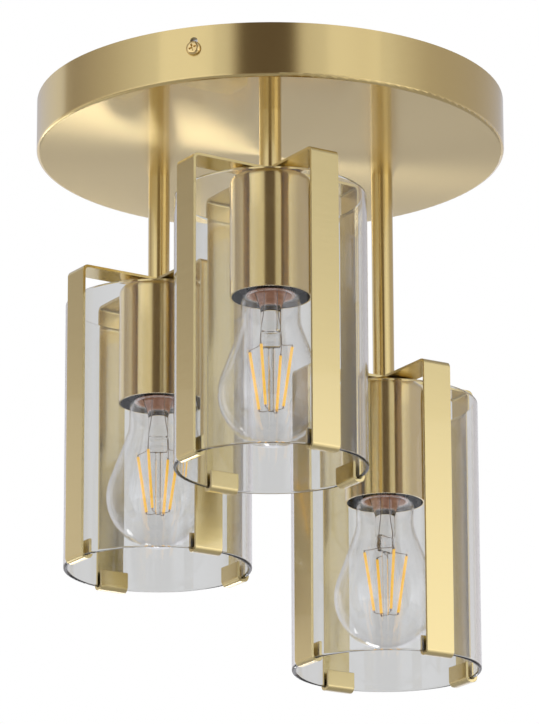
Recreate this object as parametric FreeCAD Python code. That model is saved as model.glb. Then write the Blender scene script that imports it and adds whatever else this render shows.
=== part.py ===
import FreeCAD, Part
import math
import os
from FreeCAD import Vector

# Semi flush ceiling light: a round pan canopy with three pendants at three heights.
# Each pendant is a tube stem, a cage of two crossed flat straps, a clear glass cylinder that
# stands in the hooked strap ends, a brass socket cup and a lamp bulb.
# Millimetres. Origin: centre of the canopy in the plane of the ceiling. +Z points up.

# Canopy pan
canopy_r = 140.0
canopy_depth = 32.6
canopy_wall = 1.2
canopy_corner_r = 2.0
canopy_inner_bevel = 0.9

# Pendants: how far the top of each strap cage hangs below the ceiling, and the turns round Z
# of the cage and of the screwed in bulb
pendant_circle_r = 78.0
pendants = {
    "short": {"drop": 70.2, "place_deg": -90.0, "cage_deg": -57.5, "bulb_deg": 0.0},
    "middle": {"drop": 99.7, "place_deg": 150.0, "cage_deg": -57.5, "bulb_deg": 0.0},
    "long": {"drop": 161.7, "place_deg": 30.0, "cage_deg": -58.5, "bulb_deg": 45.0},
}

# Stems and the threaded tubes in their ends
stem_r = 6.5
nipple_r = 4.95
nipple_bore_r = 3.5
nipple_in_stem = 12.0
thread_clearance = 0.05
hole_clearance = 0.2

# Nut and washer that hold each stem in the canopy
nut_across_flats = 14.0
nut_height = 4.0
washer_r = 8.5
washer_thick = 1.0
nipple_past_nut = 2.0

# Strap cage
strap_thick = 1.6
strap_width = 18.4
strap_bend_r = 1.5
cage_r = 58.0
hook_depth = 8.0
hook_tab_height = 12.0

# Glass cylinder
shade_r = 56.0
shade_wall = 2.5
shade_length = 163.8
shade_rim_bevel = 0.7
shade_top_gap = 14.6

# Socket cup
cup_r = 23.7
cup_wall = 1.0
cup_length = 72.8
cup_corner_r = 5.0
cup_inner_bevel = 2.8

# Lampholder, its screw shell and its centre contact
holder_r = 20.0
holder_collar_r = 21.2
holder_collar_height = 6.0
holder_length = 50.0
holder_mouth_up = 5.5
holder_boss_r = 8.5
holder_bevel = 2.0
nipple_in_boss = 10.0
shell_wall = 0.5
shell_floor_hole_r = 6.5
contact_width = 6.0
contact_thick = 0.6
contact_foot = 5.0
contact_bow_half = 1.25
contact_slope = 1.0
contact_back_rise = 1.2

# Bulb
cap_r = 13.0
cap_wall = 0.4
cap_rim_r = 14.4
cap_rim_height = 2.0
cap_length = 21.5
insulator_height = 3.6
insulator_top_r = 6.2
insulator_inset = 1.5
tip_r = 4.8
tip_height = 1.6
bulb_r = 30.8
bulb_centre_down = 58.0
bulb_wall = 0.8
bulb_seal_r = 12.5
bulb_seal_length = 9.0
bulb_neck_r = 17.3
bulb_shoulder_r = 3.2
bulb_flare_r = 25.0
bulb_flare_deg = 20.3
cap_up = 1.2

# Lamp insides
mount_tube_r = 5.9
mount_flare_down = 11.0
mount_pinch_down = 20.0
mount_pinch_height = 10.5
mount_pinch_width = 11.8
mount_pinch_thick = 4.0
mount_rod_r = 1.9
filament_count = 4
filament_turn_deg = 65.4
filament_r = 0.9
filament_top_depth = 30.9
filament_bottom_depth = 62.8
filament_top_spread = 13.6
filament_bottom_spread = 7.5
lead_r = 0.35

# Ceiling bar, canopy bar and the eyelet on which the canopy bar swivels
bar_thick = 2.0
box_bar_end = 5.55
box_bar_width = 22.0
box_slot_spacing = 88.9
box_slot_r = 2.4
box_slot_length = 16.0
box_bar_dish = 1.5
box_bar_dish_half = 15.0
box_bar_dish_slope = 5.0
canopy_bar_width = 25.0
canopy_bar_turn_deg = 71.8
canopy_bar_ear = 14.0
canopy_bar_end_gap = 0.35
eyelet_r = 6.0
eyelet_bore_r = 5.1
eyelet_flange_r = 8.5
eyelet_flange_thick = 1.0
swivel_clearance = 0.05

# Screws
canopy_screw_down = 13.5
canopy_screw_r = 2.05
canopy_screw_length = 9.0
canopy_screw_head_r = 4.3
canopy_screw_head_height = 2.6
canopy_screw_head_round = 1.9
recess_turn_deg = 20.0
recess_width = 1.1
recess_length = 4.6
recess_depth = 1.5
canopy_slot_r = 2.3
canopy_slot_up = 7.0
canopy_slot_down = 0.2
ground_screw_out = 42.0
ground_screw_r = 2.4
ground_screw_length = 6.0
ground_screw_head_r = 4.6
ground_screw_head_height = 3.0
ground_screw_flats = 7.7
ground_screw_washer = 1.0

# Gaps between pieces that move on each other
moving_gap = 0.3

# Edges shorter than this are left out of outlines
shortest_edge = 1e-6

# Sizes that follow from those above
canopy_floor_z = canopy_wall - canopy_depth
box_bar_length = box_slot_spacing + box_slot_length + 2 * box_bar_end
strap_stack = 2 * strap_thick
cup_bottom = -(strap_stack + cup_length)
shade_bottom = -(shade_top_gap + shade_length)
hook_bottom = shade_bottom - moving_gap - strap_thick
holder_mouth = cup_bottom + holder_mouth_up
holder_top = holder_mouth + holder_length
cap_bottom = cup_bottom + cap_up
cap_top = cap_bottom + cap_length
tip_bottom = cap_top + insulator_height
tip_top = tip_bottom + tip_height
shell_r = cap_r + moving_gap
contact_low = tip_top + moving_gap
contact_seat = contact_low + contact_foot
bulb_centre = cup_bottom - bulb_centre_down


# Shared shapes

def corner_edges(corners, closed):
    """Edges through (x, z, radius) corners in the XZ plane, each corner rounded by a tangent arc.

    A negative radius makes a flat bevel with legs of that length instead.
    """
    count = len(corners)
    points = [Vector(x, 0, z) for x, z, radius in corners]
    ends = []
    for i in range(count):
        radius = corners[i][2]
        if radius == 0 or (not closed and i in (0, count - 1)):
            ends.append((points[i], None, points[i]))
            continue
        back = (points[i - 1] - points[i]).normalize()
        ahead = (points[(i + 1) % count] - points[i]).normalize()
        half = back.getAngle(ahead) / 2
        reach = radius / math.tan(half) if radius > 0 else -radius
        middle = points[i] + (back + ahead).normalize() * (radius / math.sin(half) - radius)
        ends.append((points[i] + back * reach, middle, points[i] + ahead * reach))
    edges = []
    for i in range(count):
        start, middle, end = ends[i]
        if middle and corners[i][2] > 0:
            edges.append(Part.Arc(start, middle, end).toShape())
        elif middle:
            edges.append(Part.LineSegment(start, end).toShape())
        following = ends[(i + 1) % count][0]
        if (closed or i < count - 1) and (following - end).Length > shortest_edge:
            edges.append(Part.LineSegment(end, following).toShape())
    return edges


def turned(corners):
    """Solid of revolution about Z of a closed outline with rounded corners."""
    return turned_edges(corner_edges(corners, True))


def turned_edges(edges):
    face = Part.Face(Part.Wire(edges))
    return face.revolve(Vector(0, 0, 0), Vector(0, 0, 1), 360)


def ring(outer_r, inner_r, low, high):
    """Straight tube, or a disc when inner_r is 0."""
    solid = Part.makeCylinder(outer_r, high - low, Vector(0, 0, low))
    if inner_r > 0:
        solid = solid.cut(Part.makeCylinder(inner_r, high - low, Vector(0, 0, low)))
    return solid


def bent_strip(path, thick, width, bend_r):
    """Flat bar bent along a path of (x, z) points on one face, with the metal to its right."""
    points = [Vector(x, 0, z) for x, z in path]
    runs = [(points[i + 1] - points[i]).normalize() for i in range(len(points) - 1)]
    sides = [Vector(run.z, 0, -run.x) for run in runs]
    near = []
    far = []
    for i, point in enumerate(points):
        if i in (0, len(points) - 1):
            offset = sides[min(i, len(sides) - 1)] * thick
            near_r = far_r = 0
        else:
            offset = (sides[i - 1] + sides[i]) * (thick / (1 + sides[i - 1].dot(sides[i])))
            right_turn = sides[i - 1].dot(runs[i]) > 0
            near_r = bend_r + thick if right_turn else bend_r
            far_r = bend_r if right_turn else bend_r + thick
        near.append((point.x, point.z, near_r))
        far.append((point.x + offset.x, point.z + offset.z, far_r))
    face = Part.Face(Part.Wire(corner_edges(near + far[::-1], True)))
    solid = face.extrude(Vector(0, width, 0))
    solid.translate(Vector(0, -width / 2, 0))
    return solid


def slot_cutter(radius, start, end, length):
    """Round-ended bar from start to end, standing along +Z, for cutting a slot."""
    run = end - start
    block = Part.makeBox(run.Length, 2 * radius, length, Vector(0, -radius, 0))
    block.rotate(Vector(0, 0, 0), Vector(0, 0, 1), math.degrees(math.atan2(run.y, run.x)))
    block.translate(start)
    solid = block.fuse(Part.makeCylinder(radius, length, start))
    return solid.fuse(Part.makeCylinder(radius, length, end)).removeSplitter()


def spoke(start, end, radius):
    run = end - start
    return Part.makeCylinder(radius, run.Length, start, run)


def about_z(solid, degrees):
    turned_copy = solid.copy()
    turned_copy.rotate(Vector(0, 0, 0), Vector(0, 0, 1), degrees)
    return turned_copy


def polar(radius, degrees, z):
    angle = math.radians(degrees)
    return Vector(radius * math.cos(angle), radius * math.sin(angle), z)


def stem_place(pendant, z):
    return polar(pendant_circle_r, pendant["place_deg"], z)


def at(solid, place):
    moved = solid.copy()
    moved.translate(place)
    return moved


# Ceiling plate parts

def mounting_bar():
    """Dished strap that is screwed to the outlet box, with a slot for each box screw."""
    half = box_bar_length / 2
    slope_end = box_bar_dish_half + box_bar_dish_slope
    path = [(-half, 0), (-slope_end, 0), (-box_bar_dish_half, -box_bar_dish),
            (box_bar_dish_half, -box_bar_dish), (slope_end, 0), (half, 0)]
    bar = bent_strip(path, bar_thick, box_bar_width, strap_bend_r)
    reach = box_slot_length / 2 - box_slot_r
    height = 2 * (bar_thick + box_bar_dish)
    for side in (-1, 1):
        centre = side * box_slot_spacing / 2
        start = Vector(centre - reach, 0, -height / 2)
        bar = bar.cut(slot_cutter(box_slot_r, start, start + Vector(2 * reach, 0, 0), height))
    return bar.cut(ring(eyelet_r + swivel_clearance, 0, -height, height))


def canopy_bar_top():
    return -(box_bar_dish + bar_thick + moving_gap)


def canopy_bar():
    """Long strap across the inside of the canopy, with a down-turned ear at each end."""
    end = canopy_ear_face()
    top = canopy_bar_top()
    path = [(-end, top - canopy_bar_ear), (-end, top), (end, top), (end, top - canopy_bar_ear)]
    bar = bent_strip(path, bar_thick, canopy_bar_width, strap_bend_r)
    bar = bar.cut(ring(eyelet_r + swivel_clearance, 0, top - 2 * bar_thick, top + bar_thick))
    axle = Part.makeCylinder(canopy_screw_r + thread_clearance, 2 * canopy_r,
                             Vector(-canopy_r, 0, -canopy_screw_down), Vector(1, 0, 0))
    tapped = Part.makeCylinder(ground_screw_r + thread_clearance, 2 * bar_thick,
                               Vector(ground_screw_out, 0, top - 1.5 * bar_thick))
    return about_z(bar.cut(axle).cut(tapped), canopy_bar_turn_deg)


def canopy_ear_face():
    """Distance of each flat ear from the axis, so that its side edges clear the round wall."""
    inside = canopy_r - canopy_wall - canopy_bar_end_gap
    return math.sqrt(inside ** 2 - (canopy_bar_width / 2) ** 2)


def swivel_eyelet():
    """Hollow rivet that joins the two bars and lets the lower one turn."""
    top = -box_bar_dish
    bottom = canopy_bar_top() - bar_thick - moving_gap
    barrel = ring(eyelet_r, 0, bottom, top)
    upper = ring(eyelet_flange_r, 0, top, top + eyelet_flange_thick)
    lower = ring(eyelet_flange_r, 0, bottom - eyelet_flange_thick, bottom)
    solid = barrel.fuse(upper).fuse(lower)
    bore = ring(eyelet_bore_r, 0, bottom - eyelet_flange_thick, top + eyelet_flange_thick)
    return solid.cut(bore).removeSplitter()


def ground_screw():
    """Hexagon washer-head earthing screw under the canopy bar."""
    seat = canopy_bar_top() - bar_thick
    washer = ring(ground_screw_head_r, 0, seat - ground_screw_washer, seat)
    head = hexagon(ground_screw_flats, ground_screw_head_height)
    head.translate(Vector(0, 0, seat - ground_screw_head_height))
    shank = ring(ground_screw_r, 0, seat, seat + ground_screw_length - ground_screw_head_height)
    screw = washer.fuse(head).fuse(shank)
    screw.translate(Vector(ground_screw_out, 0, 0))
    return about_z(screw, canopy_bar_turn_deg)


def hexagon(across_flats, height):
    """Hexagonal prism standing on Z = 0."""
    corner_r = across_flats / 2 / math.cos(math.radians(180 / 6))
    points = [polar(corner_r, 360 / 6 * i, 0) for i in range(6 + 1)]
    return Part.Face(Part.makePolygon(points)).extrude(Vector(0, 0, height))


# Canopy

def canopy_pan():
    """Drawn pan, open to the ceiling, with a hole for each stem and a slot for each side screw."""
    pan = turned([
        (0, -canopy_depth, 0),
        (canopy_r, -canopy_depth, canopy_corner_r),
        (canopy_r, 0, 0),
        (canopy_r - canopy_wall, 0, 0),
        (canopy_r - canopy_wall, canopy_floor_z, -canopy_inner_bevel),
        (0, canopy_floor_z, 0),
    ])
    for pendant in pendants.values():
        hole = ring(nipple_r + hole_clearance, 0, -2 * canopy_depth, 0)
        pan = pan.cut(at(hole, stem_place(pendant, canopy_depth / 2)))
    for turn in (0, 180):
        low = Vector(-canopy_slot_down, 0, 0)
        high = Vector(canopy_slot_up - canopy_slot_r, 0, 0)
        slot = slot_cutter(canopy_slot_r, low, high, 6 * canopy_wall)
        slot.rotate(Vector(0, 0, 0), Vector(0, 1, 0), -90)
        slot.translate(Vector(canopy_r + 3 * canopy_wall, 0, -canopy_screw_down))
        pan = pan.cut(about_z(slot, canopy_bar_turn_deg + turn))
    return pan


def canopy_screws():
    """Two cross-recess pan-head screws through the canopy's side into the bar's ears."""
    seat = canopy_r + thread_clearance
    head_top = seat + canopy_screw_head_height
    head = turned([
        (0, seat, 0),
        (canopy_screw_head_r, seat, 0),
        (canopy_screw_head_r, head_top, canopy_screw_head_round),
        (0, head_top, 0),
    ])
    shank = ring(canopy_screw_r, 0, seat - canopy_screw_length, seat)
    screw = head.fuse(shank)
    low = head_top - recess_depth
    for length, width in ((recess_length, recess_width), (recess_width, recess_length)):
        corner = Vector(-length / 2, -width / 2, low)
        arm = Part.makeBox(length, width, canopy_screw_head_height, corner)
        screw = screw.cut(about_z(arm, recess_turn_deg))
    screw.rotate(Vector(0, 0, 0), Vector(0, 1, 0), 90)
    screw.translate(Vector(0, 0, -canopy_screw_down))
    return Part.makeCompound([about_z(screw, canopy_bar_turn_deg + turn) for turn in (0, 180)])


# Stems

def stem(pendant):
    """Plain tube between the canopy and the top of the cage."""
    tube = ring(stem_r, nipple_r + thread_clearance, -pendant["drop"], -canopy_depth)
    return at(tube, stem_place(pendant, 0))


def canopy_nipples():
    """Threaded tubes that rise from the stems through the canopy floor."""
    top = canopy_floor_z + washer_thick + nut_height + nipple_past_nut
    tube = ring(nipple_r, nipple_bore_r, -canopy_depth - nipple_in_stem, top)
    return Part.makeCompound([at(tube, stem_place(p, 0)) for p in pendants.values()])


def stem_washers():
    hole_r = nipple_r + hole_clearance
    washer = ring(washer_r, hole_r, canopy_floor_z, canopy_floor_z + washer_thick)
    return Part.makeCompound([at(washer, stem_place(p, 0)) for p in pendants.values()])


def stem_nuts():
    nut = hexagon(nut_across_flats, nut_height)
    nut = nut.cut(ring(nipple_r + thread_clearance, 0, 0, nut_height))
    seat = canopy_floor_z + washer_thick
    return Part.makeCompound([at(nut, stem_place(p, seat)) for p in pendants.values()])


def socket_nipples():
    """Threaded tubes that clamp stem, straps, cup and lampholder together."""
    bottom = -(strap_stack + cup_wall + nipple_in_boss)
    tube = ring(nipple_r, nipple_bore_r, bottom, nipple_in_stem)
    return Part.makeCompound([at(tube, stem_place(p, -p["drop"])) for p in pendants.values()])


# Cage, cup and lampholder, drawn with Z = 0 at the top of the cage

def cage_strap(top):
    """One strap across the stem, bent down outside the glass and hooked under its rim."""
    inner = cage_r - hook_depth
    tab_top = hook_bottom + hook_tab_height
    path = [(-inner, tab_top), (-inner, hook_bottom), (-cage_r, hook_bottom), (-cage_r, top),
            (cage_r, top), (cage_r, hook_bottom), (inner, hook_bottom), (inner, tab_top)]
    strap = bent_strip(path, strap_thick, strap_width, strap_bend_r)
    return strap.cut(ring(nipple_r + hole_clearance, 0, top - 2 * strap_thick, top + strap_thick))


def socket_cup():
    """Deep-drawn cup with a rounded shoulder, open at the bottom."""
    top = -strap_stack
    hole_r = nipple_r + hole_clearance
    return turned([
        (hole_r, top, 0),
        (cup_r, top, cup_corner_r),
        (cup_r, cup_bottom, 0),
        (cup_r - cup_wall, cup_bottom, 0),
        (cup_r - cup_wall, top - cup_wall, -cup_inner_bevel),
        (hole_r, top - cup_wall, 0),
    ])


def lampholder():
    """Moulded lampholder: a threaded boss, a round body and a collar round its open mouth."""
    boss_top = -(strap_stack + cup_wall)
    collar_top = holder_mouth + holder_collar_height
    cavity_r = shell_r + shell_wall + thread_clearance
    thread_r = nipple_r + thread_clearance
    thread_low = boss_top - nipple_in_boss - thread_clearance
    return turned([
        (thread_r, boss_top, 0),
        (holder_boss_r, boss_top, 0),
        (holder_boss_r, holder_top, 0),
        (holder_r, holder_top, -holder_bevel),
        (holder_r, collar_top, 0),
        (holder_collar_r, collar_top, 0),
        (holder_collar_r, holder_mouth, -holder_bevel / 2),
        (cavity_r, holder_mouth, -holder_bevel / 2),
        (cavity_r, contact_seat, 0),
        (0, contact_seat, 0),
        (0, thread_low, 0),
        (thread_r, thread_low, 0),
    ])


def screw_shell():
    """Thin screw shell that lines the lampholder, with a hole for the centre contact."""
    outer = shell_r + shell_wall
    return turned([
        (shell_r, holder_mouth + holder_bevel, 0),
        (outer, holder_mouth + holder_bevel, 0),
        (outer, contact_seat, 0),
        (shell_floor_hole_r, contact_seat, 0),
        (shell_floor_hole_r, contact_seat - shell_wall, 0),
        (shell_r, contact_seat - shell_wall, 0),
    ])


def centre_contact():
    """Springy tongue: a foot on the lampholder's floor and a bowed tip over the bulb's contact."""
    foot_end = -(shell_floor_hole_r - contact_width / 2)
    foot = contact_seat - contact_thick
    path = [(foot_end, foot), (-contact_bow_half - contact_slope, foot),
            (-contact_bow_half, contact_low), (contact_bow_half, contact_low),
            (contact_bow_half + contact_slope, contact_low + contact_back_rise)]
    return bent_strip(path[::-1], contact_thick, contact_width, contact_thick / 2)


def glass_shade():
    """Open glass cylinder with its rim edges taken off."""
    top = -shade_top_gap
    return turned([
        (shade_r, top, -shade_rim_bevel),
        (shade_r, shade_bottom, -shade_rim_bevel),
        (shade_r - shade_wall, shade_bottom, -shade_rim_bevel),
        (shade_r - shade_wall, top, -shade_rim_bevel),
    ])


# Bulb, drawn with Z = 0 at the top of the cage

def bulb_cap():
    """Metal screw cap with a rolled rim, closed by the insulator at its top."""
    inner = cap_r - cap_wall
    rim_top = cap_bottom + cap_rim_height
    return turned([
        (cap_rim_r, cap_bottom, 0),
        (cap_rim_r, rim_top, -cap_rim_height / 3),
        (cap_r, rim_top, 0),
        (cap_r, cap_top, -2 * cap_wall),
        (tip_r, cap_top, 0),
        (tip_r, cap_top - cap_wall, 0),
        (inner, cap_top - cap_wall, 0),
        (inner, cap_bottom, 0),
    ])


def bulb_insulator():
    return turned([
        (0, cap_top, 0),
        (cap_r - insulator_inset, cap_top, 0),
        (insulator_top_r, tip_bottom, 0),
        (0, tip_bottom, 0),
    ])


def bulb_tip():
    """Soldered centre contact, slightly domed."""
    return turned([
        (0, tip_bottom, 0),
        (tip_r, tip_bottom, 0),
        (tip_r, tip_top, -tip_height / 2),
        (0, tip_top, 0),
    ])


def bulb_side(inset):
    """Edges of the envelope from its seal in the cap to its lowest point, drawn inset by a wall."""
    slope = math.tan(math.radians(bulb_flare_deg))
    ball = bulb_r - inset
    neck = bulb_neck_r - inset
    touch = polar(ball, bulb_flare_deg, 0)
    touch = Vector(touch.x, 0, bulb_centre + touch.y)
    flare_z = touch.z + (touch.x - neck) / slope
    shoulder = cap_bottom - inset
    corners = [
        (bulb_seal_r - inset, cap_bottom + bulb_seal_length, 0),
        (bulb_seal_r - inset, shoulder, 0),
        (neck, shoulder, bulb_shoulder_r - inset),
        (neck, flare_z, bulb_flare_r + inset),
        (touch.x, touch.z, 0),
    ]
    middle = polar(ball, (bulb_flare_deg - 90) / 2, 0)
    middle = Vector(middle.x, 0, bulb_centre + middle.y)
    lowest = Vector(0, 0, bulb_centre - ball)
    return corner_edges(corners, False) + [Part.Arc(touch, middle, lowest).toShape()]


def bulb_glass():
    """Thin pear-shaped envelope, open only where it is sealed in the cap."""
    top = cap_bottom + bulb_seal_length
    wall = Part.LineSegment(Vector(0, 0, bulb_centre - bulb_r),
                            Vector(0, 0, bulb_centre - bulb_r + bulb_wall)).toShape()
    rim = Part.LineSegment(Vector(bulb_seal_r - bulb_wall, 0, top),
                           Vector(bulb_seal_r, 0, top)).toShape()
    edges = bulb_side(0) + [wall] + bulb_side(bulb_wall) + [rim]
    return turned_edges(Part.__sortEdges__(edges))


def bulb_mount():
    """Inner glass stem: a flare sealed into the neck, a tube, a flat pinch and a support rod."""
    flare_top = cap_bottom + bulb_seal_length
    flare_r = bulb_seal_r - bulb_wall - thread_clearance
    tube_low = cup_bottom - mount_pinch_down
    flare_low = cup_bottom - mount_flare_down
    flare = turned([
        (0, flare_top, 0),
        (flare_r, flare_top, 0),
        (flare_r, flare_top - bulb_wall, 0),
        (mount_tube_r, flare_low, 0),
        (mount_tube_r, tube_low, 0),
        (0, tube_low, 0),
    ])
    corner = Vector(-mount_pinch_width / 2, -mount_pinch_thick / 2, tube_low - mount_pinch_height)
    pinch = Part.makeBox(mount_pinch_width, mount_pinch_thick, mount_pinch_height, corner)
    rod_low = cup_bottom - filament_bottom_depth - 3 * lead_r
    rod = ring(mount_rod_r, 0, rod_low, tube_low)
    return flare.fuse(pinch).fuse(rod).removeSplitter()


def filament_ends():
    """Top and bottom point of each filament."""
    ends = []
    for i in range(filament_count):
        angle = filament_turn_deg + 360 / filament_count * i
        top = polar(filament_top_spread, angle, cup_bottom - filament_top_depth)
        bottom = polar(filament_bottom_spread, angle, cup_bottom - filament_bottom_depth)
        ends.append((top, bottom))
    return ends


def bulb_filaments():
    return Part.makeCompound([spoke(top, bottom, filament_r) for top, bottom in filament_ends()])


def bulb_leads():
    """Fine wires that carry the filaments: one pair from the pinch and one spider at the bottom."""
    wires = []
    pinch_z = cup_bottom - mount_pinch_down - mount_pinch_height / 2
    for top, bottom in filament_ends():
        out = Vector(bottom.x, bottom.y, 0).normalize()
        root = Vector(math.copysign(mount_pinch_width / 2 + lead_r, top.x),
                      math.copysign(mount_pinch_thick / 2, top.y), pinch_z)
        lift = (top - bottom).normalize() * lead_r
        wires.append(spoke(root, top + lift, lead_r))
        foot = out * mount_rod_r + Vector(0, 0, bottom.z - lead_r)
        wires.append(spoke(foot, Vector(bottom.x, bottom.y, bottom.z - lead_r), lead_r))
    return Part.makeCompound(wires)


# Files

def write(name, solid):
    solid.exportStep(os.path.join("parts", name + ".step"))


def fixed_pieces():
    return {
        "mounting_bar": mounting_bar(),
        "swivel_eyelet": swivel_eyelet(),
        "canopy_bar": canopy_bar(),
        "ground_screw": ground_screw(),
        "canopy_pan": canopy_pan(),
        "canopy_screws": canopy_screws(),
        "canopy_nipples": canopy_nipples(),
        "stem_washers": stem_washers(),
        "stem_nuts": stem_nuts(),
        "socket_nipples": socket_nipples(),
    }


def pendant_pieces():
    """Everything below a stem, drawn on the axis with Z = 0 at the top of the cage."""
    return {
        "upper_strap": about_z(cage_strap(0), 90),
        "lower_strap": cage_strap(-strap_thick),
        "socket_cup": socket_cup(),
        "lampholder": lampholder(),
        "screw_shell": screw_shell(),
        "centre_contact": centre_contact(),
        "glass_shade": glass_shade(),
        "bulb_cap": bulb_cap(),
        "bulb_insulator": bulb_insulator(),
        "bulb_tip": bulb_tip(),
        "bulb_glass": bulb_glass(),
        "bulb_mount": bulb_mount(),
        "bulb_leads": bulb_leads(),
        "bulb_filaments": bulb_filaments(),
    }


def main():
    os.makedirs("parts", exist_ok=True)
    for name, solid in fixed_pieces().items():
        write(name, solid)
    pieces = pendant_pieces()
    for size, pendant in pendants.items():
        write("stem_" + size, stem(pendant))
        place = stem_place(pendant, -pendant["drop"])
        for name, solid in pieces.items():
            turn = pendant["cage_deg"] if name.endswith("strap") else 0
            if name in ("bulb_mount", "bulb_leads", "bulb_filaments"):
                turn = pendant["bulb_deg"]
            write(name + "_" + size, at(about_z(solid, turn), place))


main()
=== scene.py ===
import math

import bmesh
import bpy
from mathutils import Matrix, Vector


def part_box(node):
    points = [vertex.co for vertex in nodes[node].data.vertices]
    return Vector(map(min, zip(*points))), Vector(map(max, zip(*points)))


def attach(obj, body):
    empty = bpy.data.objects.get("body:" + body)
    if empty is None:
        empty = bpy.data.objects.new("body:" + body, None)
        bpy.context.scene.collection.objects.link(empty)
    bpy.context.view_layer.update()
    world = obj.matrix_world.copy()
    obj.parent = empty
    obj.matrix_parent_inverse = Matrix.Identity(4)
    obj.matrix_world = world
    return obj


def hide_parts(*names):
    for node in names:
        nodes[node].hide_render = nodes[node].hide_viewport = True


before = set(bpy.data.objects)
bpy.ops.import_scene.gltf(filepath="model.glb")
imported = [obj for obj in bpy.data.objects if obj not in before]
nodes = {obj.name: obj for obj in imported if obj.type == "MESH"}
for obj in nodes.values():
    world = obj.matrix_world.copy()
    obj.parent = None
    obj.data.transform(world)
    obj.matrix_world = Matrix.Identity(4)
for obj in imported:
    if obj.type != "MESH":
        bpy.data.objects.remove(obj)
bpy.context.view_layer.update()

# Everything is in metres. Z = 0 is the ceiling, +Z up, and the photograph looks along +Y.

MM = 0.001
SIZES = ("short", "middle", "long")

# The photograph's camera
IMAGE_WIDTH = 539
FOCAL_PX = 4713.6
CENTRE_X_PX = 271.0
CAMERA_BACK = 2.671
CAMERA_DOWN = 0.966
CAMERA_PITCH = 0.2926
CAMERA_ROLL = -0.0034
SENSOR_MM = 36.0

# Strap cage
STRAP_THICK = 1.6 * MM
STRAP_BEND_R = 1.5 * MM
STRAP_EDGE_R = 0.3 * MM
STRAP_WIDTH = 18.4 * MM
CAGE_R = 58.0 * MM
STRAP_HOOK = 8.0 * MM
STRAP_TAB = 12.0 * MM
CAGE_TURN_DEG = {"short": -57.5, "middle": -57.5, "long": -58.5}

# Glass cylinder
SHADE_WALL = 2.5 * MM
SHADE_RIM_R = 1.1 * MM

# Bulb, measured down from the mouth of the socket cup
BULB_R = 30.8 * MM
BULB_CENTRE_DOWN = 58.0 * MM
CAP_UP = 1.2 * MM
SEAL_UP = 10.2 * MM
BULB_WALL = 0.6 * MM
BULB_NECK_R = 17.3 * MM
BULB_SEAL_R = 12.4 * MM
BULB_SEAL_ROUND = 0.8 * MM
BULB_SHOULDER_R = 3.2 * MM
BULB_FLARE_R = 25.0 * MM
BULB_FLARE = math.radians(20.3)
# The neck's shoulder sits this far under the cap, on a ring of cement
SHOULDER_DROP = 0.35 * MM
CEMENT_R = 14.2 * MM
CAP_BORE_R = 12.55 * MM

# Glass mount inside the bulb, measured down from the mouth of the socket cup
FOOT_GAP = 0.6 * MM
FOOT_R = 11.4 * MM
FOOT_EDGE = 0.8 * MM
FLARE_DOWN = 8.0 * MM
FLARE_ROUND = 8.0 * MM
TUBE_R = 5.9 * MM
TUBE_PAST_PINCH = 1.5 * MM
PINCH_DOWN = 20.0 * MM
PINCH_HEIGHT = 10.5 * MM
PINCH_WIDTH = 11.4 * MM
PINCH_THICK = 4.0 * MM
PINCH_ROUND = 1.4 * MM
ROD_R = 1.8 * MM
ROD_LOW = 68.6 * MM
LEAD_R = 0.22 * MM
BULB_TURN_DEG = {"short": 0.0, "middle": 0.0, "long": 45.0}

# Filaments
FILAMENT_TURN_DEG = 65.4
FILAMENT_R = 0.85 * MM
FILAMENT_TOP_DOWN = 30.4 * MM
FILAMENT_LOW_DOWN = 67.6 * MM
FILAMENT_TOP_SPREAD = 13.6 * MM
FILAMENT_LOW_SPREAD = 7.5 * MM
FILAMENT_TIP = 1.3 * MM
FILAMENT_TIP_R = 0.45 * MM
# The lead wires join the pinch this far under its top
LEAD_ROOT_DOWN = 2.0 * MM
# Points of the feed wires above the pinch: out from the axis and up from the cup's mouth
FEED_TOP = (3.4 * MM, 5.0 * MM)
FEED_BEND = (3.7 * MM, -9.0 * MM)


# Outlines and meshes

def arc_points(start, middle_corner, end, radius, steps):
    """Points of the arc that is tangent to both sides of a corner, from start to end."""
    back = (start - middle_corner).normalized()
    ahead = (end - middle_corner).normalized()
    half = back.angle(ahead) / 2
    centre = middle_corner + (back + ahead).normalized() * (radius / math.sin(half))
    first = start - centre
    last = end - centre
    sweep = first.angle(last)
    sign = 1 if first.cross(last) > 0 else -1
    points = []
    for i in range(steps + 1):
        turn = sign * sweep * i / steps
        points.append(centre + Matrix.Rotation(turn, 2) @ first)
    return points


def rounded(corners, steps=6, closed=True):
    """Points of an outline through (x, z, radius) corners with tangent arcs."""
    count = len(corners)
    spots = [Vector((x, z)) for x, z, radius in corners]
    points = []
    for i, (x, z, radius) in enumerate(corners):
        if radius == 0 or (not closed and i in (0, count - 1)):
            points.append(spots[i])
            continue
        back = (spots[i - 1] - spots[i]).normalized()
        ahead = (spots[(i + 1) % count] - spots[i]).normalized()
        reach = radius / math.tan(back.angle(ahead) / 2)
        start = spots[i] + back * reach
        end = spots[i] + ahead * reach
        points += arc_points(start, spots[i], end, radius, steps)
    return points


def weigh_normals(mesh, sharp_deg):
    """Weigh normals by face area, so that flat faces stay flat up to their rounded edges."""
    limit = math.cos(math.radians(sharp_deg))
    faces = [(face.normal.copy(), face.area, tuple(face.vertices)) for face in mesh.polygons]
    around = [[] for vertex in mesh.vertices]
    for face in faces:
        for vertex in face[2]:
            around[vertex].append(face)
    normals = []
    for normal, area, vertices in faces:
        for vertex in vertices:
            near = (n * a for n, a, v in around[vertex] if n.dot(normal) > limit)
            normals.append(sum(near, Vector((0, 0, 0))).normalized())
    mesh.normals_split_custom_set(normals)


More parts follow.
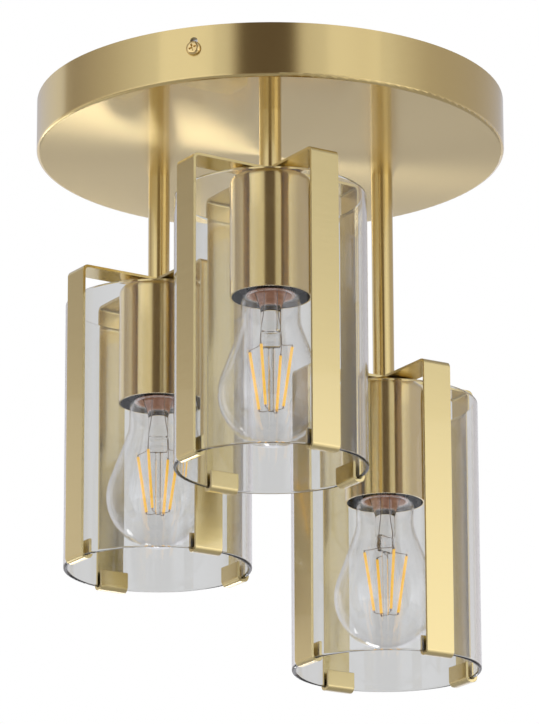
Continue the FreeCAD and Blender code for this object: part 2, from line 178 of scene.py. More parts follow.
def finish_mesh(name, bm, sharp_deg=35):
    """Make an object of a bmesh, smooth except over sharp edges."""
    bmesh.ops.remove_doubles(bm, verts=bm.verts, dist=1e-7)
    bmesh.ops.recalc_face_normals(bm, faces=bm.faces)
    mesh = bpy.data.meshes.new(name)
    bm.to_mesh(mesh)
    bm.free()
    for polygon in mesh.polygons:
        polygon.use_smooth = True
    mesh.set_sharp_from_angle(angle=math.radians(sharp_deg))
    weigh_normals(mesh, sharp_deg)
    piece = bpy.data.objects.new(name, mesh)
    bpy.context.scene.collection.objects.link(piece)
    return piece


def lathe(bm, outline, place, segments=96, closed=True):
    """Turn (r, z) points about the vertical through place."""
    rings = []
    for point in outline:
        if point[0] < 1e-9:
            rings.append([bm.verts.new((place.x, place.y, place.z + point[1]))] * segments)
            continue
        ring = []
        for i in range(segments):
            angle = 2 * math.pi * i / segments
            x = place.x + point[0] * math.cos(angle)
            y = place.y + point[0] * math.sin(angle)
            ring.append(bm.verts.new((x, y, place.z + point[1])))
        rings.append(ring)
    pairs = list(zip(rings, rings[1:]))
    if closed:
        pairs.append((rings[-1], rings[0]))
    for low, high in pairs:
        for i in range(segments):
            j = (i + 1) % segments
            corners = [low[i], low[j], high[j], high[i]]
            distinct = [v for k, v in enumerate(corners) if v not in corners[:k]]
            if len(distinct) > 2:
                bm.faces.new(distinct)


def wire(bm, points, radius, sides=8):
    """Round wire along points, with closed ends."""
    rings = []
    across = None
    for i, point in enumerate(points):
        ahead = (points[min(i + 1, len(points) - 1)] - points[max(i - 1, 0)]).normalized()
        across = ahead.orthogonal() if across is None else across - across.project(ahead)
        across.normalize()
        up = ahead.cross(across)
        ring = []
        for k in range(sides):
            angle = 2 * math.pi * k / sides
            out = across * math.cos(angle) + up * math.sin(angle)
            ring.append(bm.verts.new(point + out * radius))
        rings.append(ring)
    for low, high in zip(rings, rings[1:]):
        for k in range(sides):
            m = (k + 1) % sides
            bm.faces.new((low[k], low[m], high[m], high[k]))
    bm.faces.new(rings[0][::-1])
    bm.faces.new(rings[-1])


def curve(points, steps=8):
    """Smooth path through points."""
    path = []
    for i in range(len(points) - 1):
        before = points[max(i - 1, 0)]
        after = points[min(i + 2, len(points) - 1)]
        lead_in = (points[i + 1] - before) / 6
        lead_out = (after - points[i]) / 6
        handles = (points[i], points[i] + lead_in, points[i + 1] - lead_out, points[i + 1])
        for k in range(steps):
            t = k / steps
            weights = ((1 - t) ** 3, 3 * t * (1 - t) ** 2, 3 * t * t * (1 - t), t ** 3)
            path.append(sum((h * w for h, w in zip(handles, weights)), Vector((0, 0, 0))))
    return path + [points[-1]]


# Materials

class Tree:
    """Short way to write a material's node tree."""

    def __init__(self, name):
        self.material = bpy.data.materials.new(name)
        self.material.use_nodes = True
        self.nodes = self.material.node_tree.nodes
        self.links = self.material.node_tree.links
        self.shader = self.nodes["Principled BSDF"]

    @classmethod
    def of_world(cls, world):
        tree = cls.__new__(cls)
        tree.nodes = world.node_tree.nodes
        tree.links = world.node_tree.links
        return tree

    def add(self, kind, **settings):
        node = self.nodes.new(kind)
        for key, value in settings.items():
            setattr(node, key, value)
        return node

    def feed(self, socket, source):
        if isinstance(source, bpy.types.NodeSocket):
            self.links.new(source, socket)
        else:
            socket.default_value = source

    def math(self, operation, first, second=0.0):
        node = self.add("ShaderNodeMath", operation=operation)
        self.feed(node.inputs[0], first)
        self.feed(node.inputs[1], second)
        return node.outputs[0]

    def plane_dot(self, x, y, other_x, other_y):
        """Product of two horizontal vectors."""
        along_x = self.math("MULTIPLY", x, other_x)
        return self.math("ADD", along_x, self.math("MULTIPLY", y, other_y))

    def combine(self, x, y, z):
        node = self.add("ShaderNodeCombineXYZ")
        for socket, source in zip(node.inputs, (x, y, z)):
            self.feed(socket, source)
        return node.outputs[0]

    def separate(self, vector):
        node = self.add("ShaderNodeSeparateXYZ")
        self.feed(node.inputs[0], vector)
        return node.outputs

    def noise(self, vector, scale, detail=2.0):
        node = self.add("ShaderNodeTexNoise")
        self.feed(node.inputs["Vector"], vector)
        node.inputs["Scale"].default_value = scale
        node.inputs["Detail"].default_value = detail
        return node.outputs["Fac"]

    def spread(self, source, low, high):
        """Map noise around 0.5 to a range."""
        node = self.add("ShaderNodeMapRange")
        self.feed(node.inputs["Value"], source)
        node.inputs["From Min"].default_value = 0.25
        node.inputs["From Max"].default_value = 0.75
        node.inputs["To Min"].default_value = low
        node.inputs["To Max"].default_value = high
        return node.outputs["Result"]

    def ramp(self, source, stops):
        """Colour by (position, colour) stops."""
        node = self.add("ShaderNodeValToRGB")
        self.feed(node.inputs["Fac"], source)
        elements = node.color_ramp.elements
        while len(elements) < len(stops):
            elements.new(0.5)
        for element, (position, colour) in zip(elements, stops):
            element.position = position
            element.color = colour
        return node.outputs["Color"]

    def scale_colour(self, colour, factor):
        node = self.add("ShaderNodeVectorMath", operation="SCALE")
        self.feed(node.inputs[0], colour)
        self.feed(node.inputs["Scale"], factor)
        return node.outputs[0]

    def mix_colour(self, factor, first, second):
        node = self.add("ShaderNodeMix", data_type="RGBA")
        self.feed(node.inputs["Factor"], factor)
        self.feed(node.inputs["A"], first)
        self.feed(node.inputs["B"], second)
        return node.outputs["Result"]

    def mix_vector(self, factor, first, second):
        node = self.add("ShaderNodeMix", data_type="VECTOR")
        self.feed(node.inputs["Factor"], factor)
        self.feed(node.inputs[4], first)
        self.feed(node.inputs[5], second)
        return node.outputs[1]

    def bump(self, height, strength, distance):
        node = self.add("ShaderNodeBump")
        self.feed(node.inputs["Height"], height)
        node.inputs["Strength"].default_value = strength
        node.inputs["Distance"].default_value = distance
        self.links.new(node.outputs["Normal"], self.shader.inputs["Normal"])

    def set(self, **values):
        for name, value in values.items():
            self.feed(self.shader.inputs[name.replace("_", " ")], value)


# Deep and bright tone of the brushed brass
BRASS_TONES = ((0.73, 0.565, 0.235, 1), (0.78, 0.61, 0.265, 1))
# The straps' tones are a paler copy of the brass tones: a painted sheen standing in for the pale
# shine of their lacquer.
STRAP_TONES_PAINTED_SHEEN = ((0.735, 0.6, 0.275, 1), (0.785, 0.645, 0.31, 1))
BRASS_ROUGHNESS = (0.20, 0.24)
# Roughness of faces that look up or down, as a share of the walls'
FLAT_ROUGHNESS = 0.9
# A face looks up or down when its normal's Z is more than this
FLAT_NORMAL_Z = 0.8
# Inner walls further than this from the axis are black
DARK_INSIDE_R = 4.5 * MM
DARK_INSIDE = (0.03, 0.028, 0.026, 1)


def satin_brass(name, place=(0, 0), turn_deg=None, dark_inside=False, tones=BRASS_TONES):
    """Lacquered brass, brushed round the upright axis at place or across a strip that is turned."""
    tree = Tree(name)
    coords = tree.add("ShaderNodeTexCoord").outputs["Object"]
    normal = tree.add("ShaderNodeNewGeometry").outputs["Normal"]
    normal_x, normal_y, normal_z = tree.separate(normal)
    flat = tree.math("GREATER_THAN", tree.math("ABSOLUTE", normal_z), FLAT_NORMAL_Z)
    if turn_deg is None:
        shift = tree.add("ShaderNodeVectorMath", operation="SUBTRACT")
        tree.feed(shift.inputs[0], coords)
        shift.inputs[1].default_value = (place[0], place[1], 0)
        x, y, z = tree.separate(shift.outputs[0])
        radius = tree.math("SQRT", tree.plane_dot(x, y, x, y))
        turn = tree.math("MULTIPLY", tree.math("ARCTAN2", y, x), 0.01)
        wall = tree.combine(turn, 0.0, z)
        face = tree.combine(turn, radius, 0.0)
        face_grain = tree.combine(x, y, 0.0)
    else:
        rotate = tree.add("ShaderNodeVectorRotate", rotation_type="Z_AXIS")
        tree.feed(rotate.inputs["Vector"], coords)
        rotate.inputs["Angle"].default_value = -math.radians(turn_deg)
        x, y, z = tree.separate(rotate.outputs[0])
        wall = tree.combine(x, tree.math("MULTIPLY", y, 0.02), z)
        face = wall
        along = math.radians(turn_deg)
        face_grain = tree.combine(math.cos(along), math.sin(along), 0.0)
    lines = tree.mix_vector(flat, wall, face)
    fine = tree.noise(lines, 2600, 2)
    broad = tree.noise(lines, 420, 2)
    streak = tree.math("ADD", tree.math("MULTIPLY", fine, 0.75), tree.math("MULTIPLY", broad, 0.25))
    cloud = tree.noise(coords, 7, 1)
    tone = tree.math("ADD", tree.math("MULTIPLY", streak, 0.6), tree.math("MULTIPLY", cloud, 0.4))
    colour = tree.mix_colour(tree.spread(tone, 0, 1), *tones)
    if dark_inside:
        inside = tree.math("LESS_THAN", tree.plane_dot(normal_x, normal_y, x, y), -DARK_INSIDE_R)
        colour = tree.mix_colour(inside, colour, DARK_INSIDE)
    grain = tree.mix_vector(flat, (0.0, 0.0, 1.0), face_grain)
    share = tree.math("ADD", 1.0, tree.math("MULTIPLY", flat, FLAT_ROUGHNESS - 1))
    level = tree.math("MULTIPLY", tree.spread(streak, *BRASS_ROUGHNESS), share)
    tree.set(Base_Color=colour, Metallic=1.0, Roughness=level, Anisotropic=0.93, Tangent=grain,
             Coat_Weight=1.0, Coat_Roughness=0.04, Coat_IOR=1.45)
    return tree.material


def polished_brass():
    tree = Tree("polished_brass")
    coords = tree.add("ShaderNodeTexCoord").outputs["Object"]
    smudge = tree.noise(coords, 300, 3)
    colour = tree.mix_colour(smudge, (0.78, 0.55, 0.22, 1), (0.9, 0.72, 0.36, 1))
    tree.set(Base_Color=colour, Metallic=1.0, Roughness=tree.spread(smudge, 0.08, 0.2))
    return tree.material


def plated_steel(name="zinc_steel", pale=(0.72, 0.73, 0.74, 1), dull=(0.5, 0.52, 0.55, 1)):
    tree = Tree(name)
    coords = tree.add("ShaderNodeTexCoord").outputs["Object"]
    spangle = tree.noise(coords, 180, 4)
    rolled = tree.noise(coords, 900, 2)
    colour = tree.mix_colour(tree.spread(spangle, 0, 1), dull, pale)
    tree.set(Base_Color=colour, Metallic=1.0, Roughness=tree.spread(spangle, 0.28, 0.5))
    tree.bump(rolled, 0.1, 0.00003)
    return tree.material


def plain_brass():
    tree = Tree("plain_brass")
    coords = tree.add("ShaderNodeTexCoord").outputs["Object"]
    stain = tree.noise(coords, 160, 4)
    colour = tree.mix_colour(tree.spread(stain, 0, 1), (0.52, 0.33, 0.14, 1), (0.75, 0.55, 0.25, 1))
    tree.set(Base_Color=colour, Metallic=1.0, Roughness=tree.spread(stain, 0.25, 0.45))
    return tree.material


def painted_green():
    tree = Tree("green_screw")
    coords = tree.add("ShaderNodeTexCoord").outputs["Object"]
    wear = tree.noise(coords, 700, 3)
    colour = tree.mix_colour(tree.spread(wear, 0, 1), (0.03, 0.2, 0.06, 1), (0.06, 0.36, 0.13, 1))
    tree.set(Base_Color=colour, Roughness=tree.spread(wear, 0.3, 0.5), Metallic=0.3)
    return tree.material


def black_moulding():
    tree = Tree("black_moulding")
    coords = tree.add("ShaderNodeTexCoord").outputs["Object"]
    grain = tree.noise(coords, 1500, 3)
    colour = tree.mix_colour(grain, (0.012, 0.012, 0.014, 1), (0.03, 0.03, 0.034, 1))
    tree.set(Base_Color=colour, Roughness=tree.spread(grain, 0.38, 0.55), Specular_IOR_Level=0.12)
    tree.bump(grain, 0.2, 0.00004)
    return tree.material


def glass(name, tint, ior):
    """Clear glass with a faint waviness of the surface."""
    tree = Tree(name)
    coords = tree.add("ShaderNodeTexCoord").outputs["Object"]
    wave = tree.noise(coords, 9, 1)
    colour = tree.mix_colour(wave, tint, tuple(min(1.0, c * 1.01) for c in tint[:3]) + (1,))
    tree.set(Base_Color=colour, Roughness=0.0, IOR=ior, Transmission_Weight=1.0)
    tree.bump(wave, 0.04, 0.001)
    return tree.material


# Gloss of thin glass: seen square on, what its edge adds, and how fast that grows
THIN_GLOSS_FACE = 0.06
THIN_GLOSS_EDGE = 0.9
THIN_GLOSS_POWER = 4.0


def thin_glass(name):
    """Glass too thin to bend what is seen through it, with a gloss that grows towards the edge."""
    tree = Tree(name)
    coords = tree.add("ShaderNodeTexCoord").outputs["Object"]
    wave = tree.noise(coords, 60, 2)
    facing = tree.add("ShaderNodeLayerWeight").outputs["Facing"]
    gloss = tree.math("MULTIPLY", tree.math("POWER", facing, THIN_GLOSS_POWER), THIN_GLOSS_EDGE)
    gloss = tree.math("ADD", gloss, THIN_GLOSS_FACE)
    colour = tree.mix_colour(wave, (0.97, 0.98, 0.98, 1), (1.0, 1.0, 1.0, 1))
    tree.set(Base_Color=colour, Metallic=1.0, Roughness=0.02, Alpha=gloss)
    return tree.material


def cap_metal():
    tree = Tree("cap_metal")
    coords = tree.add("ShaderNodeTexCoord").outputs["Object"]
    drawn = tree.noise(coords, 420, 3)
    colour = tree.mix_colour(drawn, (0.62, 0.6, 0.57, 1), (0.84, 0.83, 0.81, 1))
    tree.set(Base_Color=colour, Metallic=1.0, Roughness=tree.spread(drawn, 0.2, 0.36))
    return tree.material


def black_glass():
    tree = Tree("black_glass")
    coords = tree.add("ShaderNodeTexCoord").outputs["Object"]
    swirl = tree.noise(coords, 350, 2)
    colour = tree.mix_colour(swirl, (0.006, 0.006, 0.008, 1), (0.03, 0.03, 0.035, 1))
    tree.set(Base_Color=colour, Roughness=tree.spread(swirl, 0.05, 0.15))
    return tree.material


def cap_filling_painted_glow():
    tree = Tree("cap_filling_painted_glow")
    coords = tree.add("ShaderNodeTexCoord").outputs["Object"]
    grain = tree.noise(coords, 900, 3)
    colour = tree.mix_colour(tree.spread(grain, 0, 1), (0.22, 0.1, 0.06, 1), (0.42, 0.22, 0.14, 1))
    # The emission is a painted glow that brightens the cement seen in the bulb's neck; the cement
    # is no lamp.
    tree.set(Base_Color=colour, Roughness=0.6, Emission_Color=colour, Emission_Strength=0.55)
    return tree.material


def filament_coat_painted_glow():
    tree = Tree("filament")
    coords = tree.add("ShaderNodeTexCoord").outputs["Object"]
    grain = tree.noise(coords, 1600, 2)
    colour = tree.mix_colour(tree.spread(grain, 0, 1), (0.86, 0.42, 0.035, 1), (1.0, 0.62, 0.09, 1))
    # The emission is a painted glow that stands in for the light the glass keeps off the filaments.
    tree.set(Base_Color=colour, Roughness=0.45, Emission_Color=colour, Emission_Strength=0.8)
    return tree.material


def give(piece, material):
    piece.data.materials.clear()
    piece.data.materials.append(material)


# Stage

FLOOR_HALF = 6.0
FLOOR_Z = -2.0
FLOOR_TONES = ((0.76, 0.75, 0.73, 1), (0.8, 0.79, 0.77, 1))
FLOOR_PALE = (1.0, 0.99, 0.98, 1)
# Added paleness of the floor as the camera sees it, and the share of it seen through glass
FLOOR_SEEN = 0.36
FLOOR_THROUGH_GLASS = 0.6


def studio_floor():
    bm = bmesh.new()
    bmesh.ops.create_grid(bm, x_segments=4, y_segments=4, size=FLOOR_HALF)
    floor = finish_mesh("floor", bm)
    floor.location.z = FLOOR_Z
    tree = Tree("floor")
    coords = tree.add("ShaderNodeTexCoord").outputs["Object"]
    mottle = tree.noise(coords, 3, 3)
    path = tree.add("ShaderNodeLightPath").outputs
    through = tree.math("MULTIPLY", path["Is Transmission Ray"], FLOOR_THROUGH_GLASS)
    seen = tree.math("MULTIPLY", tree.math("ADD", path["Is Camera Ray"], through), FLOOR_SEEN)
    tree.set(Base_Color=tree.mix_colour(mottle, *FLOOR_TONES), Roughness=0.9,
             Emission_Color=FLOOR_PALE, Emission_Strength=seen)
    give(floor, tree.material)


# Brightness of the room seen in the metal, by bearing in half turns: 0 is the camera's side, and
# bearings grow to the right
ROOM_BY_BEARING = (
    (-1.0, 0.8), (-0.933, 0.6), (-0.8, 0.7), (-0.68, 0.8), (-0.66, 0.38), (-0.61, 0.38),
    (-0.467, 0.58), (-0.333, 0.85), (-0.267, 0.86), (-0.133, 0.86), (-0.11, 0.8), (-0.092, 0.4),
    (-0.076, 0.135), (0.056, 0.135), (0.07, 0.35), (0.09, 0.76), (0.133, 0.82), (0.2, 0.83),
    (0.267, 0.76), (0.333, 0.84), (0.37, 0.72), (0.467, 0.53), (0.667, 0.5), (0.8, 0.53),
    (0.867, 0.55), (1.0, 0.8),
)
# Share of that brightness by the direction's height, from 0, straight down, to 1, straight up
ROOM_BY_HEIGHT = (
    (0.0, 0.8), (0.36, 1.12), (0.42, 1.1), (0.5, 1.0), (0.62, 1.0), (0.64, 0.89), (0.658, 0.76),
    (0.67, 0.7), (1.0, 0.55),
)
ROOM_GAIN = 1.17
# The room's colours are kept this much lower in the ramp, whose colours end at 1
ROOM_HEADROOM = 0.88
# Bright parts of the room are cool and dim parts warm: each colour is a factor times a power of
# the level
ROOM_TINT = ((1.0, 0.0), (1.03, 0.13), (1.12, 0.25))
# Brightness of what is seen straight through glass, by the same bearing to either side
THROUGH_BY_BEARING = ((0.0, 0.5), (0.2, 0.85), (0.55, 0.8), (0.8, 0.7), (0.93, 0.64), (1.0, 0.62))


def room_colour(level):
    parts = (level * ROOM_HEADROOM * factor * level ** power for factor, power in ROOM_TINT)
    return tuple(parts) + (1,)


def grey(level):
    return (level, level, level, 1)


def studio_world():
    """White behind the object; in reflections and through glass a plain room round the camera."""
    world = bpy.data.worlds.new("studio")
    bpy.context.scene.world = world
    world.use_nodes = True
    tree = Tree.of_world(world)
    coords = tree.add("ShaderNodeTexCoord").outputs["Generated"]
    x, y, z = tree.separate(coords)
    bearing = tree.math("DIVIDE", tree.math("ARCTAN2", x, tree.math("MULTIPLY", y, -1.0)), math.pi)
    along = tree.math("MULTIPLY", tree.math("ADD", bearing, 1.0), 0.5)
    seen = tree.ramp(along, [((at + 1) / 2, room_colour(level)) for at, level in ROOM_BY_BEARING])
    to_either_side = tree.math("ABSOLUTE", bearing)
    through = tree.ramp(to_either_side, [(at, grey(level)) for at, level in THROUGH_BY_BEARING])
    height = tree.math("MULTIPLY", tree.math("ADD", z, 1.0), 0.5)
    by_height = tree.ramp(height, [(at, grey(level)) for at, level in ROOM_BY_HEIGHT])
    level = tree.math("MULTIPLY", tree.separate(by_height)[0], ROOM_GAIN / ROOM_HEADROOM)
    path = tree.add("ShaderNodeLightPath").outputs
    straight = tree.math("LESS_THAN", path["Glossy Depth"], 0.5)
    straight = tree.math("MULTIPLY", straight, path["Is Transmission Ray"])
    room = tree.mix_colour(straight, tree.scale_colour(seen, level), through)
    colour = tree.mix_colour(path["Is Camera Ray"], room, (1, 1, 1, 1))
    tree.feed(tree.nodes["Background"].inputs["Color"], colour)


# Name, azimuth and elevation in degrees, distance, width, height and watts. Azimuth 0 is the
# camera's side, and azimuths grow to the right.
SOFTBOXES = (
    ("left_softbox", -41, 18, 4.0, 1.8, 2.4, 3),
    ("right_softbox", 41, 18, 4.0, 1.8, 2.4, 2.5),
    ("low_left_softbox", -140, -20, 2.5, 0.5, 1.2, 4.5),
    ("low_back_softbox", -172, -24, 2.2, 0.4, 0.3, 1.55),
    ("near_right_softbox", 61, -17, 0.56, 0.4, 0.6, 0.4),
    ("near_left_softbox", -106, -17, 0.53, 0.4, 0.6, 0.15),
)
LAMP_TARGET = Vector((0, 0, -0.17))


def softbox(name, azimuth_deg, elevation_deg, distance, width, height, watts):
    """Soft lamp aimed at the middle of the light fitting."""
    azimuth = math.radians(azimuth_deg)
    elevation = math.radians(elevation_deg)
    away = Vector((math.sin(azimuth) * math.cos(elevation),
                   -math.cos(azimuth) * math.cos(elevation), math.sin(elevation)))
    data = bpy.data.lights.new(name, "AREA")
    data.shape = "RECTANGLE"
    data.size = width
    data.size_y = height
    data.energy = watts
    lamp = bpy.data.objects.new(name, data)
    lamp.location = LAMP_TARGET + away * distance
    lamp.rotation_euler = away.to_track_quat("Z", "Y").to_euler()
    lamp.visible_camera = False
    lamp.visible_transmission = False
    bpy.context.scene.collection.objects.link(lamp)


def photo_camera():
    data = bpy.data.cameras.new("photo_camera")
    data.sensor_fit = "HORIZONTAL"
    data.sensor_width = SENSOR_MM
    data.lens = FOCAL_PX / IMAGE_WIDTH * SENSOR_MM
    data.shift_x = (IMAGE_WIDTH / 2 - CENTRE_X_PX) / IMAGE_WIDTH
    data.clip_end = 50
    camera = bpy.data.objects.new("photo_camera", data)
    right = Vector((1, 0, 0))
    up = Vector((0, -math.sin(CAMERA_PITCH), math.cos(CAMERA_PITCH)))
    ahead = Vector((0, math.cos(CAMERA_PITCH), math.sin(CAMERA_PITCH)))
    rolled_right = right * math.cos(CAMERA_ROLL) + up * math.sin(CAMERA_ROLL)
    rolled_up = up * math.cos(CAMERA_ROLL) - right * math.sin(CAMERA_ROLL)
    turn = Matrix((rolled_right, rolled_up, -ahead)).transposed()
    camera.matrix_world = Matrix.Translation((0, -CAMERA_BACK, -CAMERA_DOWN)) @ turn.to_4x4()
    bpy.context.scene.collection.objects.link(camera)
    bpy.context.scene.camera = camera


# Pieces

def axis_of(node):
    """Point on a round node's vertical axis at the height of its lowest point."""
    low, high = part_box(node)
    return Vector(((low.x + high.x) / 2, (low.y + high.y) / 2, low.z))


def glass_shade(size, material):
    low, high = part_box("glass_shade_" + size)
    place = axis_of("glass_shade_" + size)
    outer = (high.x - low.x) / 2
    tall = high.z - low.z
    inner = outer - SHADE_WALL
    bm = bmesh.new()
    corners = [(outer, 0, SHADE_RIM_R), (outer, tall, SHADE_RIM_R),
               (inner, tall, SHADE_RIM_R), (inner, 0, SHADE_RIM_R)]
    lathe(bm, rounded(corners, 5), place, 160)
    shade = finish_mesh("clear_shade_" + size, bm, 60)
    give(shade, material)
    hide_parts("glass_shade_" + size)
    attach(shade, "shade_" + size)


def cage_strap(name, size, turn_deg, material):
    """Flat bar bent down outside the glass and hooked under it, with its edges eased."""
    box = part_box(name)
    centre = axis_of("stem_" + size)
    top = box[1].z
    bottom = box[0].z
    inner = CAGE_R - STRAP_THICK
    tab = CAGE_R - STRAP_HOOK
    tab_top = bottom + STRAP_TAB
    bend_in = STRAP_BEND_R
    bend_out = STRAP_BEND_R + STRAP_THICK
    half = [
        (CAGE_R, top, bend_out), (CAGE_R, bottom, bend_out), (tab, bottom, bend_out),
        (tab, tab_top, STRAP_EDGE_R), (tab + STRAP_THICK, tab_top, STRAP_EDGE_R),
        (tab + STRAP_THICK, bottom + STRAP_THICK, bend_in), (inner, bottom + STRAP_THICK, bend_in),
        (inner, top - STRAP_THICK, bend_in),
    ]
    corners = half + [(-x, z, radius) for x, z, radius in half[::-1]]
    outline = rounded(corners, 5)
    bm = bmesh.new()
    sides = []
    for y in (-STRAP_WIDTH / 2, STRAP_WIDTH / 2):
        sides.append([bm.verts.new((p[0], y, p[1])) for p in outline])
    rim = [bm.faces.new(sides[0]), bm.faces.new(sides[1][::-1])]
    for i in range(len(outline)):
        j = (i + 1) % len(outline)
        bm.faces.new((sides[0][j], sides[0][i], sides[1][i], sides[1][j]))
    edges = [edge for face in rim for edge in face.edges]
    bmesh.ops.bevel(bm, geom=edges, offset=STRAP_EDGE_R, offset_type="OFFSET", segments=3,
                    profile=0.5, affect="EDGES", clamp_overlap=False)
    turn = Matrix.Rotation(math.radians(turn_deg), 4, "Z")
    place = Matrix.Translation((centre.x, centre.y, 0))
    bmesh.ops.transform(bm, matrix=place @ turn, verts=bm.verts)
    strap = finish_mesh("cage_" + name, bm, 40)
    give(strap, material)
    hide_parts(name)
    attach(strap, "fixture")


def bulb_outline(inset):
    """Envelope points from the seal in the cap to the lowest point, z from the cup's mouth."""
    ball = BULB_R - inset
    neck = BULB_NECK_R - inset
    touch_r = ball * math.cos(BULB_FLARE)
    touch_z = -BULB_CENTRE_DOWN + ball * math.sin(BULB_FLARE)
    flare_z = touch_z + (touch_r - neck) / math.tan(BULB_FLARE)
    shoulder = CAP_UP - SHOULDER_DROP - inset
    corners = [
        (BULB_SEAL_R - inset, SEAL_UP, 0),
        (BULB_SEAL_R - inset, shoulder, BULB_SEAL_ROUND + inset),
        (neck, shoulder, BULB_SHOULDER_R - inset),
        (neck, flare_z, BULB_FLARE_R + inset),
        (touch_r, touch_z, 0),
    ]
    points = rounded(corners, 8, closed=False)
    steps = 28
    for i in range(1, steps + 1):
        angle = BULB_FLARE - (BULB_FLARE + math.pi / 2) * i / steps
        radius = ball * math.cos(angle) if i < steps else 0
        points.append(Vector((radius, -BULB_CENTRE_DOWN + ball * math.sin(angle))))
    return points


def bulb_envelope(size, mouth, material):
    bm = bmesh.new()
    outer = bulb_outline(0)
    inner = bulb_outline(BULB_WALL)
    lathe(bm, outer, mouth, 96, closed=False)
    lathe(bm, inner, mouth, 96, closed=False)
    lathe(bm, [outer[0], inner[0]], mouth, 96, closed=False)
    envelope = finish_mesh("envelope_" + size, bm, 60)
    give(envelope, material)
    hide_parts("bulb_glass_" + size)
    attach(envelope, "bulb_" + size)


def place_in_bulb(piece, size, material, replaced=None):
    give(piece, material)
    if replaced:
        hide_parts(replaced + size)
    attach(piece, "bulb_" + size)


def glass_foot(size, mouth, material):
    """Flared foot of clear glass that narrows to the tube above the pinch."""
    bm = bmesh.new()
    foot_z = SEAL_UP - FOOT_GAP
    end_z = -PINCH_DOWN - TUBE_PAST_PINCH
    outline = [(0, foot_z, 0), (FOOT_R, foot_z, 0), (FOOT_R, foot_z - FOOT_EDGE, 0.3 * MM),
               (TUBE_R, -FLARE_DOWN, FLARE_ROUND), (TUBE_R, end_z, 2.5 * MM), (0, end_z, 0)]
    lathe(bm, rounded(outline, 6, closed=False), mouth, 48, closed=False)
    foot = finish_mesh("glass_foot_" + size, bm, 50)
    place_in_bulb(foot, size, material, "bulb_mount_")


def glass_pinch(size, mouth, material):
    """Flat pinch in the end of the tube and the support rod under it."""
    bm = bmesh.new()
    bmesh.ops.create_cube(bm, size=1)
    bmesh.ops.scale(bm, vec=(PINCH_WIDTH, PINCH_THICK, PINCH_HEIGHT), verts=bm.verts)
    bmesh.ops.bevel(bm, geom=bm.edges[:], offset=PINCH_ROUND, segments=4, profile=0.5,
                    affect="EDGES")
    turn = Matrix.Rotation(math.radians(BULB_TURN_DEG[size]), 4, "Z")
    place = mouth + Vector((0, 0, -PINCH_DOWN - PINCH_HEIGHT / 2))
    bmesh.ops.transform(bm, matrix=Matrix.Translation(place) @ turn, verts=bm.verts)
    rod_top = -PINCH_DOWN - PINCH_HEIGHT + 0.1 * MM
    rod = [(0, rod_top, 0), (ROD_R, rod_top, 0.5 * MM), (ROD_R, -ROD_LOW, 0.9 * MM),
           (0, -ROD_LOW, 0)]
    lathe(bm, rounded(rod, 5, closed=False), mouth, 32, closed=False)
    place_in_bulb(finish_mesh("glass_pinch_" + size, bm, 50), size, material)


def cap_cement(size, mouth, material):
    """Cement between the cap and the neck, seen through the shoulder of the envelope."""
    bm = bmesh.new()
    low = CAP_UP - SHOULDER_DROP + 0.05 * MM
    ring = [(BULB_SEAL_R + 0.03 * MM, SEAL_UP), (BULB_SEAL_R + 0.03 * MM, low),
            (CEMENT_R, low), (CEMENT_R, CAP_UP - 0.03 * MM),
            (CAP_BORE_R, CAP_UP - 0.03 * MM), (CAP_BORE_R, SEAL_UP)]
    lathe(bm, ring, mouth, 64)
    place_in_bulb(finish_mesh("cap_cement_" + size, bm), size, material)


def filament_line(i, size):
    """Top and bottom point of a filament, from the middle of the bulb's mouth."""
    angle = math.radians(BULB_TURN_DEG[size] + FILAMENT_TURN_DEG + 90 * i)
    out = Vector((math.cos(angle), math.sin(angle), 0))
    top = out * FILAMENT_TOP_SPREAD - Vector((0, 0, FILAMENT_TOP_DOWN))
    bottom = out * FILAMENT_LOW_SPREAD - Vector((0, 0, FILAMENT_LOW_DOWN))
    return out, top, bottom


def filaments(size, mouth, coat, wire_material):
    """Coated strips with bare metal ends, and the wires that carry them."""
    strips = bmesh.new()
    wires = bmesh.new()
    turn = math.radians(BULB_TURN_DEG[size])
    along = Vector((math.cos(turn), math.sin(turn), 0))
    for i in range(4):
        out, top, bottom = filament_line(i, size)
        run = (bottom - top).normalized()
        coat_top = top + run * FILAMENT_TIP
        coat_low = bottom - run * FILAMENT_TIP
        wire(strips, [mouth + coat_top, mouth + coat_low], FILAMENT_R, 12)
        wire(wires, [mouth + top, mouth + coat_top], FILAMENT_TIP_R)
        wire(wires, [mouth + coat_low, mouth + bottom], FILAMENT_TIP_R)
        side = along * math.copysign(1, along.dot(out))
        root = side * (PINCH_WIDTH / 2 + LEAD_R) - Vector((0, 0, PINCH_DOWN + LEAD_ROOT_DOWN))
        waist_z = -PINCH_DOWN - PINCH_HEIGHT * 0.8
        waist = side * (PINCH_WIDTH / 2 + 0.5 * MM) + Vector((0, 0, waist_z))
        wire(wires, [mouth + p for p in curve([root, waist, top])], LEAD_R)
        foot = out * ROD_R - Vector((0, 0, FILAMENT_LOW_DOWN + 0.2 * MM))
        sag = (foot + bottom) / 2 - Vector((0, 0, 0.4 * MM))
        wire(wires, [mouth + p for p in curve([foot, sag, bottom])], LEAD_R)
    for side in (along, -along):
        start = side * FEED_TOP[0] + Vector((0, 0, FEED_TOP[1]))
        bend = side * FEED_BEND[0] + Vector((0, 0, FEED_BEND[1]))
        end = side * (PINCH_WIDTH / 2 + LEAD_R) - Vector((0, 0, PINCH_DOWN + LEAD_ROOT_DOWN))
        wire(wires, [mouth + p for p in curve([start, bend, end])], LEAD_R)
    strips = finish_mesh("strips_" + size, strips, 50)
    wires = finish_mesh("wires_" + size, wires, 50)
    place_in_bulb(strips, size, coat, "bulb_filaments_")
    place_in_bulb(wires, size, wire_material, "bulb_leads_")


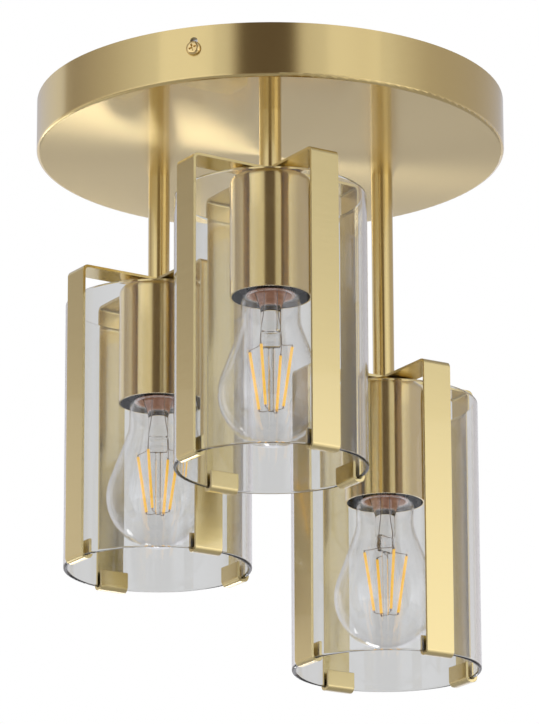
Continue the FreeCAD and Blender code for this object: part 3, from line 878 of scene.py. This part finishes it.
def dress_cad_nodes(materials):
    """Give every CAD node that stays its material."""
    for name, node in nodes.items():
        base = name.rsplit("_", 1)[0] if name.endswith(SIZES) else name
        if base in materials:
            give(node, materials[base])


photo_camera()
studio_floor()
studio_world()
for settings in SOFTBOXES:
    softbox(*settings)

zinc = plated_steel()
brass_fittings = plain_brass()
shade_material = glass("shade_glass", (0.985, 0.99, 0.988, 1), 1.48)
bulb_material = thin_glass("bulb_glass")
tube_material = glass("tube_glass", (0.99, 0.995, 0.995, 1), 1.12)
pinch_material = glass("pinch_glass", (0.99, 0.995, 0.995, 1), 1.42)
canopy_brass = satin_brass("satin_brass_canopy")
# The cement's emission is a painted glow.
cement = cap_filling_painted_glow()
# The filaments' emission is a painted glow.
coat = filament_coat_painted_glow()
lead_wire = plated_steel("lead_wire", (0.66, 0.6, 0.55, 1), (0.4, 0.33, 0.28, 1))

dress_cad_nodes({
    "canopy_pan": canopy_brass,
    "canopy_screws": polished_brass(),
    "mounting_bar": zinc,
    "swivel_eyelet": zinc,
    "canopy_bar": zinc,
    "canopy_nipples": zinc,
    "stem_washers": zinc,
    "stem_nuts": zinc,
    "socket_nipples": zinc,
    "ground_screw": painted_green(),
    "lampholder": black_moulding(),
    "screw_shell": brass_fittings,
    "centre_contact": brass_fittings,
    "bulb_tip": cap_metal(),
    "bulb_cap": cap_metal(),
    "bulb_insulator": black_glass(),
})

for size in SIZES:
    place = axis_of("stem_" + size)
    round_brass = satin_brass("satin_brass_" + size, (place.x, place.y), dark_inside=True)
    give(nodes["stem_" + size], round_brass)
    give(nodes["socket_cup_" + size], round_brass)
    turn = CAGE_TURN_DEG[size]
    for name, turn_deg in (("upper_strap_", turn + 90), ("lower_strap_", turn)):
        strip_brass = satin_brass("satin_brass_" + name + size, turn_deg=turn_deg,
                                  tones=STRAP_TONES_PAINTED_SHEEN)
        cage_strap(name + size, size, turn_deg, strip_brass)
    glass_shade(size, shade_material)
    mouth = axis_of("socket_cup_" + size)
    bulb_envelope(size, mouth, bulb_material)
    glass_foot(size, mouth, tube_material)
    glass_pinch(size, mouth, pinch_material)
    cap_cement(size, mouth, cement)
    filaments(size, mouth, coat, lead_wire)

view = bpy.context.scene.view_settings
view.view_transform = "Standard"
